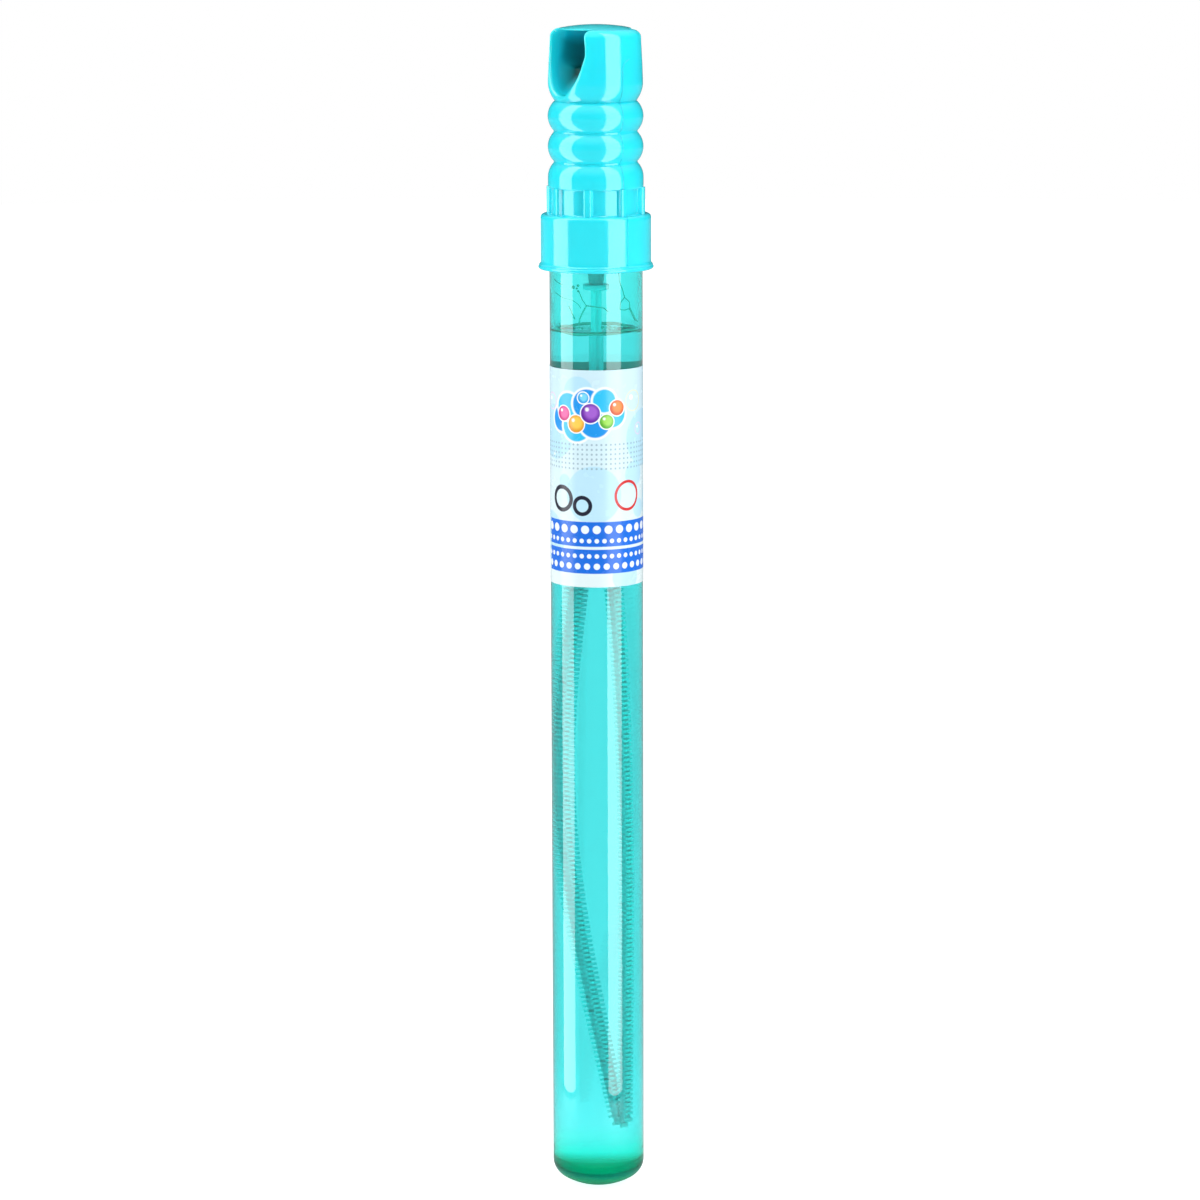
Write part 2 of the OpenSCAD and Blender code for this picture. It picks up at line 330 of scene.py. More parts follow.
def raised(outline, levels):
    """A closed bmesh of an (x, y) outline stacked at levels of (z, scale)."""
    bm = bmesh.new()
    rows = [[bm.verts.new((x * scale, y * scale, z)) for x, y in outline] for z, scale in levels]
    for lower, upper in zip(rows, rows[1:]):
        for i in range(len(outline)):
            j = (i + 1) % len(outline)
            bm.faces.new([lower[i], lower[j], upper[j], upper[i]])
    bm.faces.new(rows[0][::-1])
    bm.faces.new(rows[-1])
    bmesh.ops.recalc_face_normals(bm, faces=bm.faces)
    return bm


def smooth_by_angle(piece, degrees):
    """Marks the edges that turn more than the given angle as sharp."""
    piece.data.set_sharp_from_angle(angle=math.radians(degrees))


def finished(piece, material, body, slot, *nodes):
    """Gives a piece its material and its body and hides the CAD nodes that it stands for; its slot is not
    used.
    """
    piece.data.materials.clear()
    piece.data.materials.append(material)
    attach(piece, body)
    if nodes:
        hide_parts(*nodes)
    return piece


class Nodes:
    """Short calls for building a node tree."""

    def __init__(self, tree):
        self.tree = tree

    def add(self, kind, inputs=None, **settings):
        node = self.tree.nodes.new(kind)
        for key, value in settings.items():
            setattr(node, key, value)
        for key, value in (inputs or {}).items():
            if isinstance(value, bpy.types.NodeSocket):
                self.tree.links.new(value, node.inputs[key])
            else:
                node.inputs[key].default_value = value
        return node

    def math(self, operation, *values, clamp=False):
        node = self.add("ShaderNodeMath", dict(enumerate(values)), operation=operation, use_clamp=clamp)
        return node.outputs[0]

    def vector(self, operation, *values):
        node = self.add("ShaderNodeVectorMath", dict(enumerate(values)), operation=operation)
        return node.outputs["Value" if operation in ("DOT_PRODUCT", "LENGTH", "DISTANCE") else "Vector"]

    def mix(self, factor, first, second):
        node = self.add("ShaderNodeMix", {0: factor, 6: first, 7: second}, data_type="RGBA")
        return node.outputs[2]

    def span(self, value, low, high, to_low=0.0, to_high=1.0, smooth=True):
        inputs = {0: value, 1: low, 2: high, 3: to_low, 4: to_high}
        kind = "SMOOTHSTEP" if smooth else "LINEAR"
        return self.add("ShaderNodeMapRange", inputs, interpolation_type=kind).outputs[0]

    def noise(self, coords, scale, detail=2.0):
        inputs = {"Vector": coords, "Scale": scale, "Detail": detail}
        return self.add("ShaderNodeTexNoise", inputs).outputs[0]

    def bump(self, height, strength, distance):
        inputs = {"Height": height, "Strength": strength, "Distance": distance}
        return self.add("ShaderNodeBump", inputs).outputs[0]


class Builder(Nodes):
    """A Geometry Nodes tree with named inputs that ends in Realize Instances and Set Material."""

    def __init__(self, name, **kinds):
        super().__init__(bpy.data.node_groups.new(name, "GeometryNodeTree"))
        sockets = self.tree.interface
        sockets.new_socket("Geometry", in_out="INPUT", socket_type="NodeSocketGeometry")
        sockets.new_socket("Geometry", in_out="OUTPUT", socket_type="NodeSocketGeometry")
        for key, kind in kinds.items():
            sockets.new_socket(key, in_out="INPUT", socket_type="NodeSocket" + kind)
        sockets.new_socket("Material", in_out="INPUT", socket_type="NodeSocketMaterial")
        self.given = self.add("NodeGroupInput").outputs

    def ends_in(self, geometry):
        solid = self.add("GeometryNodeRealizeInstances", {"Geometry": geometry}).outputs[0]
        inputs = {"Geometry": solid, "Material": self.given["Material"]}
        self.add("NodeGroupOutput", {0: self.add("GeometryNodeSetMaterial", inputs).outputs[0]})

    def attribute(self, name):
        return self.add("GeometryNodeInputNamedAttribute", {"Name": name}, data_type="FLOAT").outputs[0]

    def build(self, piece, **values):
        """Turns a piece's mesh into what the tree makes of it."""
        modifier = piece.modifiers.new(self.tree.name, "NODES")
        modifier.node_group = self.tree
        for item in self.tree.interface.items_tree:
            if item.in_out == "INPUT" and item.name in values:
                modifier[item.identifier] = values[item.name]
        mesh = plain_mesh(piece)
        piece.modifiers.clear()
        piece.data = mesh
        mesh.polygons.foreach_set("use_smooth", [True] * len(mesh.polygons))
        return piece


def plain_mesh(piece):
    """The mesh that a piece has with its modifiers."""
    graph = bpy.context.evaluated_depsgraph_get()
    graph.update()
    return bpy.data.meshes.new_from_object(piece.evaluated_get(graph))


def new_material(name):
    """A material with a Principled shader, its node helper and its Object coordinates."""
    material = bpy.data.materials.new(name)
    material.use_nodes = True
    nodes = Nodes(material.node_tree)
    shader = material.node_tree.nodes["Principled BSDF"]
    coords = nodes.add("ShaderNodeTexCoord").outputs["Object"]
    return material, nodes, shader, coords


def moulded_plastic(name, colour, shade, roughness, translucent=0.0, hollow_shade=None):
    """Glossy moulded plastic: cloudy colour, uneven gloss, faint texture and, if a shade colour is given,
    painted shade that darkens towards it with depth and weak reflections.
    """
    material, nodes, shader, coords = new_material(name)
    cloud = nodes.noise(coords, CLOUD_SCALE, CLOUD_DETAIL)
    pigment_and_shade = nodes.mix(nodes.span(cloud, *NOISE_SPAN), colour, shade)
    patches = nodes.noise(coords, GLOSS_SCALE)
    gloss = nodes.span(patches, *NOISE_SPAN, roughness - 0.03, roughness + 0.04)
    # Painted shade: the colour darkens towards the given shade colour as the stored depth value grows.
    if hollow_shade:
        recess_shade = nodes.add("ShaderNodeAttribute", attribute_name="recess_shade").outputs["Fac"]
        pigment_and_shade = nodes.mix(recess_shade, pigment_and_shade, hollow_shade)
    nodes.tree.links.new(pigment_and_shade, shader.inputs["Base Color"])
    # Painted shade also dims the reflections of a material that has a shade colour.
    shader.inputs["Specular IOR Level"].default_value = 0.1 if hollow_shade else 0.9
    if translucent:
        shader.inputs["Subsurface Weight"].default_value = translucent
        shader.inputs["Subsurface Radius"].default_value = (0.3, 1.0, 1.0)
        shader.inputs["Subsurface Scale"].default_value = 0.005
    nodes.tree.links.new(gloss, shader.inputs["Roughness"])
    grain = nodes.bump(nodes.noise(coords, GRAIN_SCALE), GRAIN_STRENGTH, GRAIN_DEPTH)
    nodes.tree.links.new(grain, shader.inputs["Normal"])
    return material


def lets_lamps_through(material, nodes, shader):
    """Lamps light what is inside a clear piece, which otherwise blocks their rays."""
    path = nodes.add("ShaderNodeLightPath")
    clear = nodes.add("ShaderNodeBsdfTransparent", {"Color": WHITE})
    inputs = {0: path.outputs["Is Shadow Ray"], 1: shader.outputs[0], 2: clear.outputs[0]}
    both = nodes.add("ShaderNodeMixShader", inputs)
    out = material.node_tree.nodes["Material Output"]
    nodes.tree.links.new(both.outputs[0], out.inputs["Surface"])


def absorbs(material, nodes, colour, density):
    """Colour that deepens with the thickness of the piece."""
    volume = nodes.add("ShaderNodeVolumeAbsorption", {"Color": colour, "Density": density})
    out = material.node_tree.nodes["Material Output"]
    nodes.tree.links.new(volume.outputs[0], out.inputs["Volume"])


def clear_tube_material():
    """Clear teal plastic that glows towards the tube's rounded bottom, which is cloudy and green."""
    material, nodes, shader, coords = new_material("clear_tube")
    shader.inputs["IOR"].default_value = 1.5
    shader.inputs["Specular IOR Level"].default_value = 0.9
    scuff = nodes.span(nodes.noise(coords, 180.0, 4.0), 0.45, 0.75, 0.0, 0.03)
    height = nodes.add("ShaderNodeSeparateXYZ", {0: coords}).outputs[2]
    wall = nodes.span(height, GREEN_LOW_Z * MM, GREEN_HIGH_Z * MM)
    upper = nodes.span(height, GLOW_LOW_Z * MM, GLOW_HIGH_Z * MM)
    tint = nodes.mix(wall, (0.0, 0.64, 0.27, 1), (0.0, 1.0, 0.84, 1))
    tint = nodes.mix(upper, tint, WHITE)
    nodes.tree.links.new(tint, shader.inputs["Base Color"])
    clear = nodes.span(wall, 0.0, 1.0, 0.4, 1.0, smooth=False)
    nodes.tree.links.new(clear, shader.inputs["Transmission Weight"])
    frosted = nodes.span(wall, 0.0, 1.0, 0.12, 0.0, smooth=False)
    nodes.tree.links.new(nodes.math("ADD", scuff, frosted), shader.inputs["Roughness"])
    nodes.tree.links.new(upper, shader.inputs["Coat Weight"])
    mirrored = nodes.mix(upper, (0.02, 0.9, 0.5, 1), WHITE)
    nodes.tree.links.new(mirrored, shader.inputs["Specular Tint"])
    shader.inputs["Coat Roughness"].default_value = 0.03
    lets_lamps_through(material, nodes, shader)
    absorbs(material, nodes, (0.02, 0.918, 0.91, 1), 1160.0)
    return material


def liquid_material():
    """Pale blue, almost clear bubble solution."""
    material, nodes, shader, coords = new_material("bubble_solution")
    shader.inputs["Base Color"].default_value = WHITE
    shader.inputs["Transmission Weight"].default_value = 1.0
    shader.inputs["IOR"].default_value = 1.33
    haze = nodes.span(nodes.noise(coords, 90.0), *NOISE_SPAN, 0.0, 0.01)
    nodes.tree.links.new(haze, shader.inputs["Roughness"])
    lets_lamps_through(material, nodes, shader)
    absorbs(material, nodes, (0.55, 0.70, 0.80, 1), 15.0)
    return material


class Print:
    """Flat shapes printed one over another, in millimetres right of and above the label's lower middle."""

    def __init__(self, nodes, coords):
        self.nodes = nodes
        place = nodes.add("ShaderNodeSeparateXYZ", {0: coords}).outputs
        turn = nodes.math("ARCTAN2", place[1], place[0])
        middle = math.radians(90 - VIEW_AZIMUTH)
        self.across = nodes.math("MULTIPLY", nodes.math("ADD", turn, middle), LABEL_OUT_R)
        height = nodes.math("MULTIPLY", place[2], 1 / MM)
        self.up = nodes.math("SUBTRACT", height, LABEL_LOW_Z)
        self.place = nodes.add("ShaderNodeCombineXYZ", {0: self.across, 1: self.up}).outputs[0]
        level = nodes.vector("MULTIPLY", coords, (1, 1, 0))
        self.radius = nodes.math("MULTIPLY", nodes.vector("LENGTH", level), 1 / MM)
        self.colour = None

    def lay(self, mask, colour):
        self.colour = self.nodes.mix(mask, self.colour, colour)

    def reach(self, centre):
        return self.nodes.vector("DISTANCE", self.place, (centre[0], centre[1], 0))

    def disc(self, centre, radius, colour, soft=0.12, strength=1.0):
        self.lay(self.nodes.span(self.reach(centre), radius - soft, radius + soft, strength, 0.0), colour)

    def ring(self, centre, radius, width, colour, strength=1.0):
        off = self.nodes.math("ABSOLUTE", self.nodes.math("SUBTRACT", self.reach(centre), radius))
        self.lay(self.nodes.span(off, width / 2 - 0.1, width / 2 + 0.1, strength, 0.0), colour)

    def bubble(self, centre, radius, colour, deep):
        """A glossy coloured bubble with a white edge, a deeper rim and a light spot."""
        self.disc(centre, radius + 0.35, (0.95, 0.97, 1.0, 1))
        self.disc(centre, radius, deep)
        heart = (centre[0] + 0.1 * radius, centre[1] + 0.12 * radius)
        self.disc(heart, 0.72 * radius, colour, 0.3 * radius)
        spot = (centre[0] - 0.35 * radius, centre[1] + 0.42 * radius)
        self.disc(spot, 0.2 * radius, WHITE, 0.1 * radius, 0.9)

    def within(self, value, low, high, soft=0.1):
        rises = self.nodes.span(value, low - soft, low + soft)
        falls = self.nodes.span(value, high - soft, high + soft, 1.0, 0.0)
        return self.nodes.math("MULTIPLY", rises, falls)

    def dots(self, low, high, pitch, radius, colour, strength=1.0):
        """Rows of dots that fill the label's width between two heights."""
        nodes = self.nodes
        beside = nodes.math("WRAP", self.across, pitch / 2, -pitch / 2)
        above = nodes.math("SUBTRACT", self.up, low + pitch / 2)
        above = nodes.math("WRAP", above, pitch / 2, -pitch / 2)
        spread = nodes.add("ShaderNodeCombineXYZ", {0: beside, 1: above}).outputs[0]
        dot = nodes.span(nodes.vector("LENGTH", spread), radius - 0.1, radius + 0.1, strength, 0.0)
        self.lay(nodes.math("MULTIPLY", dot, self.within(self.up, low, high)), colour)


def label_material():
    """White film printed with a cloud of coloured bubbles, pale discs and two blue bands."""
    material, nodes, shader, coords = new_material("label_film")
    pattern = Print(nodes, coords)
    sky = nodes.span(pattern.up, 0.0, LABEL_H)
    pattern.colour = nodes.mix(sky, (0.72, 0.85, 0.87, 1), (0.58, 0.79, 0.88, 1))
    pale = (0.36, 0.70, 0.90, 1)
    for across, up, radius in (
        (-16, 48, 8.5), (-1, 29, 9.0), (13.5, 35, 4.0), (19, 46, 9.0), (-19, 15, 8.0), (10, 3, 5.0),
        (-6, 61, 5.0), (-11, 33, 2.2), (16, 24, 3.0), (27, 26, 8.0), (40, 50, 9.0), (52, 20, 7.0),
        (-34, 55, 8.0), (-40, 30, 9.0), (34, 8, 6.0),
    ):
        pattern.disc((across, up), radius, pale, 0.3, 0.6)
    blue = (0.012, 0.30, 0.80, 1)
    sea = (0.03, 0.52, 0.86, 1)
    for across, up, radius, colour in (
        (-12, 52.5, 4.0, blue), (-6.5, 50.5, 4.8, sea), (-0.5, 52, 5.0, blue), (5, 54.5, 4.4, sea),
        (-9.5, 56.5, 4.2, sea), (-3, 57.5, 4.6, blue), (2.5, 58.5, 3.6, sea),
    ):
        pattern.disc((across, up), radius + 0.7, (0.93, 0.97, 1.0, 1), 0.3)
        pattern.disc((across, up), radius, colour, 0.3)
    for across, up, radius, colour, deep in (
        (-11.2, 54.2, 2.3, (0.85, 0.10, 0.36, 1), (0.55, 0.01, 0.18, 1)),
        (-6.6, 51.2, 2.7, (0.92, 0.60, 0.09, 1), (0.75, 0.30, 0.02, 1)),
        (-1.9, 54.6, 3.0, (0.36, 0.12, 0.62, 1), (0.13, 0.02, 0.35, 1)),
        (3.2, 52.0, 2.2, (0.35, 0.72, 0.10, 1), (0.10, 0.42, 0.03, 1)),
        (6.6, 56.2, 2.4, (0.90, 0.26, 0.05, 1), (0.62, 0.08, 0.02, 1)),
        (-4.2, 59.4, 1.7, (0.20, 0.68, 0.92, 1), (0.03, 0.34, 0.75, 1)),
    ):
        pattern.bubble((across, up), radius, colour, deep)
    for across, up, radius, colour in (
        (-17.5, 57.5, 2.6, (0.80, 0.62, 0.80, 1)), (13, 58, 3.2, (0.75, 0.80, 0.55, 1)),
        (15.8, 49, 1.8, (0.70, 0.66, 0.88, 1)), (-15.5, 40.5, 1.5, (0.60, 0.78, 0.86, 1)),
    ):
        pattern.ring((across, up), radius, 0.5, colour, 0.8)
        spot = (across - 0.3 * radius, up + 0.35 * radius)
        pattern.disc(spot, 0.25 * radius, WHITE, 0.2, 0.9)
    pattern.dots(36.5, 45.5, 1.5, 0.34, (0.24, 0.38, 0.48, 1), 0.75)
    pattern.ring((10.5, 28.5), 4.4, 0.9, (0.62, 0.03, 0.03, 1))
    ink = (0.01, 0.012, 0.03, 1)
    pattern.ring((-12, 27.5), 3.6, 1.3, ink)
    pattern.ring((-4.6, 25.6), 2.6, 1.2, ink)
    royal = (0.007, 0.15, 0.71, 1)
    width = pattern.within(pattern.across, -19.5, 60.0)
    for low, high in ((4.3, 11.9), (12.8, 20.6)):
        pattern.lay(nodes.math("MULTIPLY", pattern.within(pattern.up, low, high), width), royal)
    for low, pitch, radius in ((5.0, 3.1, 1.0), (8.6, 2.4, 0.72), (13.4, 2.4, 0.72), (16.3, 3.7, 1.3)):
        pattern.dots(low, low + pitch, pitch, radius, (0.86, 0.94, 1.0, 1), 0.92)
    printed_side = nodes.span(pattern.radius, 14.56, 14.58)
    pattern.colour = nodes.mix(printed_side, (0.60, 0.98, 0.82, 1), pattern.colour)
    nodes.tree.links.new(pattern.colour, shader.inputs["Base Color"])
    gloss = nodes.span(nodes.noise(coords, 300.0), *NOISE_SPAN, 0.2, 0.28)
    nodes.tree.links.new(gloss, shader.inputs["Roughness"])
    return material


def tube_outline(inset, lift):
    """The rounded bottom, from the axis to the wall, inset from the outer one and lifted."""
    corner_r = TUBE_R - DOME_CORNER_R
    lean = math.degrees(math.atan2(corner_r, DOME_R - DOME_H))
    cap = arc(0, DOME_R + lift, DOME_R - inset, -90, lean - 90, 14)
    corner = arc(corner_r, DOME_H + lift, DOME_CORNER_R - inset, lean - 90, 0, 14)
    return [(max(r, 0.0), z) for r, z in cap[:-1] + corner]


def make_tube(material):
    """Tube with its rounded bottom, thick floor and neck with a rounded rim."""
    rim_r = 0.35
    step_h = 0.4
    outer = tube_outline(0, 0)
    outer += [(TUBE_R, NECK_Z - step_h), (NECK_R, NECK_Z + step_h)]
    rim = arc(NECK_R - rim_r, TUBE_LEN - rim_r, rim_r, 0, 90, 4)
    rim += arc(TUBE_BORE_R + rim_r, TUBE_LEN - rim_r, rim_r, 90, 180, 4)
    inner = tube_outline(TUBE_WALL, TUBE_FLOOR - TUBE_WALL)
    piece = mesh_object("clear_tube", turned(supported(outer + rim + inner[::-1]), ROUND_SEGMENTS))
    smooth_by_angle(piece, 40)
    return finished(piece, material, "tube_body", "clear_tube", "tube")


def make_liquid(material):
    """Solution that fills the tube up to its level and climbs the wall a little."""
    seat = TUBE_WALL - LIQUID_SEAT
    body = tube_outline(seat, TUBE_FLOOR - TUBE_WALL)
    wall_r = TUBE_R - seat
    steps = 24
    top = []
    for i in range(steps + 1):
        r = wall_r * (1 - i / steps) ** 1.6
        rise = MENISCUS_RISE * math.exp(-max(0.0, TUBE_BORE_R - r) / MENISCUS_REACH)
        top.append((r, LIQUID_Z + rise))
    piece = mesh_object("bubble_solution", turned(supported(body + top), ROUND_SEGMENTS))
    smooth_by_angle(piece, 60)
    return finished(piece, material, "tube_body", "clear_tube")


def make_label(material):
    """Film wrapped round the tube with its seam at the back."""
    half_gap = LABEL_SEAM / 2 / LABEL_OUT_R
    bm = bmesh.new()
    high_z = LABEL_LOW_Z + LABEL_H
    outline = [(LABEL_IN_R, LABEL_LOW_Z), (LABEL_OUT_R, LABEL_LOW_Z)]
    outline += [(LABEL_OUT_R, high_z), (LABEL_IN_R, high_z)]
    rings = []
    for i in range(LABEL_SEGMENTS + 1):
        a = -math.pi + half_gap + (2 * math.pi - 2 * half_gap) * i / LABEL_SEGMENTS
        rings.append([bm.verts.new((r * math.cos(a), r * math.sin(a), z)) for r, z in outline])
    for near, far in zip(rings, rings[1:]):
        for k in range(4):
            bm.faces.new([near[k], far[k], far[(k + 1) % 4], near[(k + 1) % 4]])
    bm.faces.new(rings[0])
    bm.faces.new(rings[-1][::-1])
    bmesh.ops.recalc_face_normals(bm, faces=bm.faces)
    piece = mesh_object("label_film", bm)
    smooth_by_angle(piece, 40)
    return finished(piece, material, "tube_body", "label_film", "label")


def ring_arc_radius():
    """Radius of a grip ring's arc, which spans one pitch and rises from groove to ring."""
    depth = RING_R - GROOVE_R
    return (RING_PITCH ** 2 / 4 + depth ** 2) / (2 * depth)


def grip_outline():
    """Outer section of the skirt, waist and rings, from the skirt's lower edge up to the last groove."""
    lip_r = LIP_H / 2
    points = [(THREAD_BORE_R, SKIRT_Z + MOUTH_CHAMFER), (THREAD_BORE_R + MOUTH_CHAMFER, SKIRT_Z)]
    points += arc(LIP_R - lip_r, SKIRT_Z + lip_r, lip_r, -90, 60, 8)
    points += arc(SKIRT_R + LIP_FILLET_R, SKIRT_Z + LIP_H + 1.0, LIP_FILLET_R, 245, 180, 5)
    corner_z = SKIRT_TOP_Z - SKIRT_CORNER_R
    points += arc(SKIRT_R - SKIRT_CORNER_R, corner_z, SKIRT_CORNER_R, 0, 90, 6)
    points += arc(WAIST_R + WAIST_FOOT_R, SKIRT_TOP_Z + WAIST_FOOT_R, WAIST_FOOT_R, 270, 180, 4)
    points += arc(WAIST_R + WAIST_HEAD_R, WAIST_TOP_Z - WAIST_HEAD_R, WAIST_HEAD_R, 180, 90, 3)
    points += arc(RING_R - RING_EDGE_R, WAIST_TOP_Z + RING_EDGE_R, RING_EDGE_R, -90, 0, 4)
    radius = ring_arc_radius()
    swing = math.degrees(math.asin(RING_PITCH / 2 / radius))
    trim = 3.0
    for i in range(RING_COUNT):
        low = 0 if i == 0 else trim - swing
        points += arc(RING_R - radius, LOW_RING_Z + i * RING_PITCH, radius, low, swing - trim, 12)
    return points


def head_side_z():
    """Height at which the head's side turns into its corner, which runs smoothly into the crown."""
    reach = CROWN_R - HEAD_CORNER_R
    return TOP_Z - CROWN_R + math.sqrt(reach ** 2 - (HEAD_TOP_R - HEAD_CORNER_R) ** 2)


def head_side_r(z):
    """Radius of the head's tapered side at a height."""
    foot_z = HEAD_Z + HEAD_CONE_H
    return HEAD_FOOT_R + (HEAD_TOP_R - HEAD_FOOT_R) * (z - foot_z) / (head_side_z() - foot_z)


def head_outline():
    """Section of the head without its eye, from the axis in the last groove up to the crown."""
    side_z = head_side_z()
    foot = (HEAD_FOOT_R, HEAD_Z + HEAD_CONE_H)
    sunk_z = HEAD_Z - 0.5
    points = [(0, sunk_z), (GROOVE_R - 0.3, sunk_z), (GROOVE_R, HEAD_Z + 0.1)]
    points += softened((GROOVE_R, HEAD_Z), foot, (HEAD_TOP_R, side_z), HEAD_FOOT_REACH, 10)
    edge_r = HEAD_TOP_R - HEAD_CORNER_R
    crown_z = TOP_Z - CROWN_R
    meeting = math.degrees(math.atan2(side_z - crown_z, edge_r))
    points += arc(edge_r, side_z, HEAD_CORNER_R, 0, meeting, 12)[:-1]
    points += arc(0, crown_z, CROWN_R, meeting, 90, 10)[:-1]
    return points + [(0, TOP_Z)]


def outline_distance(r, z, outline):
    """Distance of points from a section that starts and ends on the axis, negative inside it."""
    nearest = np.full(r.shape, 1e6)
    inside = np.zeros(r.shape, bool)
    for (r0, z0), (r1, z1) in zip(outline, outline[1:]):
        dr, dz = r1 - r0, z1 - z0
        share = np.clip(((r - r0) * dr + (z - z0) * dz) / (dr * dr + dz * dz), 0, 1)
        nearest = np.minimum(nearest, (r - r0 - share * dr) ** 2 + (z - z0 - share * dz) ** 2)
        if dz:
            inside ^= ((z0 > z) != (z1 > z)) & (r < r0 + (z - z0) * dr / dz)
    return np.sqrt(nearest) * np.where(inside, -1, 1)


def smooth_max(a, b, blend):
    """The larger of two distances, rounded where they are close."""
    near = np.maximum(blend - np.abs(a - b), 0) / blend
    return np.maximum(a, b) + near * near * blend / 4


def eye_distance(x, y, z):
    """Distance of points from the hanging eye's space, whose mouths close towards one upper corner."""
    beside = np.abs(x) - (EYE_HALF_W - EYE_CORNER_R)
    below = EYE_Z - EYE_H + EYE_CORNER_R - z
    corner = np.hypot(np.maximum(beside, 0), np.maximum(below, 0))
    space = -(corner + np.minimum(np.maximum(beside, below), 0) - EYE_CORNER_R)
    drop = np.minimum(z - EYE_Z, 0) / SCOOP_H
    for side in (-1, 1):
        closing = np.clip((z - MOUTH_CLOSING_Z) / MOUTH_CLOSING_H, 0, 1)
        closing = closing * np.clip(-side * x / MOUTH_CLOSING_W, 0, 1)
        out = np.hypot(x, y - side * SCOOP_REACH) / (SCOOP_R * (1 - MOUTH_CLOSING * closing))
        size = np.maximum(np.hypot(out, drop), 0.01)
        slope = np.hypot(out / SCOOP_R, drop / SCOOP_H) / size
        space = smooth_max(space, (1 - size) / np.maximum(slope, 0.01), MOUTH_BLEND)
    return smooth_max(-space, z - EYE_Z, ROOF_BLEND)


def head_distance(points, outline):
    """Distance of points from the head, whose eye has rounded lips that grow softer downwards."""
    x, y, z = points.T
    solid = outline_distance(np.hypot(x, y), z, outline)
    blend = np.interp(z, LIP_BLEND_Z, LIP_BLEND)
    return smooth_max(solid, -eye_distance(x, y, z), blend)


def surface_net(values):
    """Cells of a grid of values that the zero surface passes, and the faces between them."""
    inside = values < 0
    size = np.array(values.shape) - 1
    count = np.zeros(size, int)
    for i in (0, 1):
        for j in (0, 1):
            for k in (0, 1):
                count += inside[i:size[0] + i, j:size[1] + j, k:size[2] + k]
    active = (count > 0) & (count < 8)
    cells = np.argwhere(active)
    number = np.full(size, -1)
    number[active] = np.arange(len(cells))
    unit = np.eye(3, dtype=int)
    faces = []
    for axis in range(3):
        u, v = (axis + 1) % 3, (axis + 2) % 3
        first = np.take(inside, range(size[axis]), axis)
        edges = np.argwhere(first != np.take(inside, range(1, size[axis] + 1), axis))
        around = []
        for a, b in ((0, 0), (1, 0), (1, 1), (0, 1)):
            cell = edges - a * unit[u] - b * unit[v]
            around.append(number[tuple(cell.T)])
        quads = np.stack(around, 1)
        inward = ~first[tuple(edges.T)]
        quads[inward] = quads[inward][:, ::-1]
        faces.append(quads)
    return cells, np.concatenate(faces)


def drawn_to_surface(points, distance, rounds=4):
    """Moves points onto the surface where the distance is zero."""
    small = 0.002
    for _ in range(rounds):
        slope = np.empty_like(points)
        for axis in range(3):
            step = np.zeros(3)
            step[axis] = small
            slope[:, axis] = (distance(points + step) - distance(points - step)) / (2 * small)
        steep = np.maximum((slope ** 2).sum(1), 0.05)
        points = points - slope * (distance(points) / steep)[:, None]
    return points


def make_head(material, eye_shade_material):
    """Head with its scooped hanging eye, whose inside is painted with shade that deepens inwards and has a
    less glossy material.
    """
    outline = head_outline()
    low = np.array([-15.2, -15.2, HEAD_Z - 1.3])
    high = np.array([15.2, 15.2, TOP_Z + 0.9])
    axes = [np.arange(a, b, HEAD_GRID) for a, b in zip(low, high)]
    grid = np.stack(np.meshgrid(*axes, indexing="ij"), -1)
    values = head_distance(grid.reshape(-1, 3), outline).reshape(grid.shape[:3])
    cells, faces = surface_net(values)
    centres = low + (cells + 0.5) * HEAD_GRID
    points = drawn_to_surface(centres, lambda p: head_distance(p, outline))
    piece = points_object("handle_head", points.tolist(), faces=faces.tolist())
    # Painted shade: the depth below the head's outline sets how dark each point of the eye is painted.
    depth = -outline_distance(np.hypot(points[:, 0], points[:, 1]), points[:, 2], outline)
    recess_shade = np.clip((depth - SHADE_START) / SHADE_DEPTH, 0, 1)
    store(piece, "recess_shade", recess_shade)
    finished(piece, material, "wand_body", "handle_plastic")
    piece.data.materials.append(eye_shade_material)
    # Faces with enough painted shade take the eye's shaded material.
    in_eye = (recess_shade[faces].mean(1) > EYE_SHADE).astype(np.int32)
    piece.data.polygons.foreach_set("material_index", in_eye)


def make_handle(material, head_material, eye_shade_material, swept):
    """Hollow grip, head, ribs and the two parting lines of the handle."""
    inside = [(HOLLOW_R, HEAD_Z), (HOLLOW_R, SHOULDER_Z), (THREAD_BORE_R, SHOULDER_Z)]
    section = supported(inside + grip_outline()) + [(GROOVE_R - 0.2, HEAD_Z)]
    piece = mesh_object("handle_grip", turned(section, ROUND_SEGMENTS, closed=True))
    smooth_by_angle(piece, 40)
    finished(piece, material, "wand_body", "handle_plastic", "handle")
    make_head(head_material, eye_shade_material)
    make_ribs(material)
    above_lip = grip_outline()[14:]
    head_foot = head_outline()[3:14]
    profile = [(r, z, 0) for r, z in above_lip + head_foot]
    for rise, turn in PARTING_HOOK:
        z = PARTING_LINE_Z + rise
        profile.append((head_side_r(z), z, math.radians(turn)))
    for side in (-1, 1):
        path = [(side * r * math.cos(turn), side * r * math.sin(turn), z) for r, z, turn in profile]
        seam = chain_object("parting_line", path)
        swept.build(seam, Radius=PARTING_LINE_R * MM, Sides=8, Material=material)
        finished(seam, material, "wand_body", "handle_plastic")


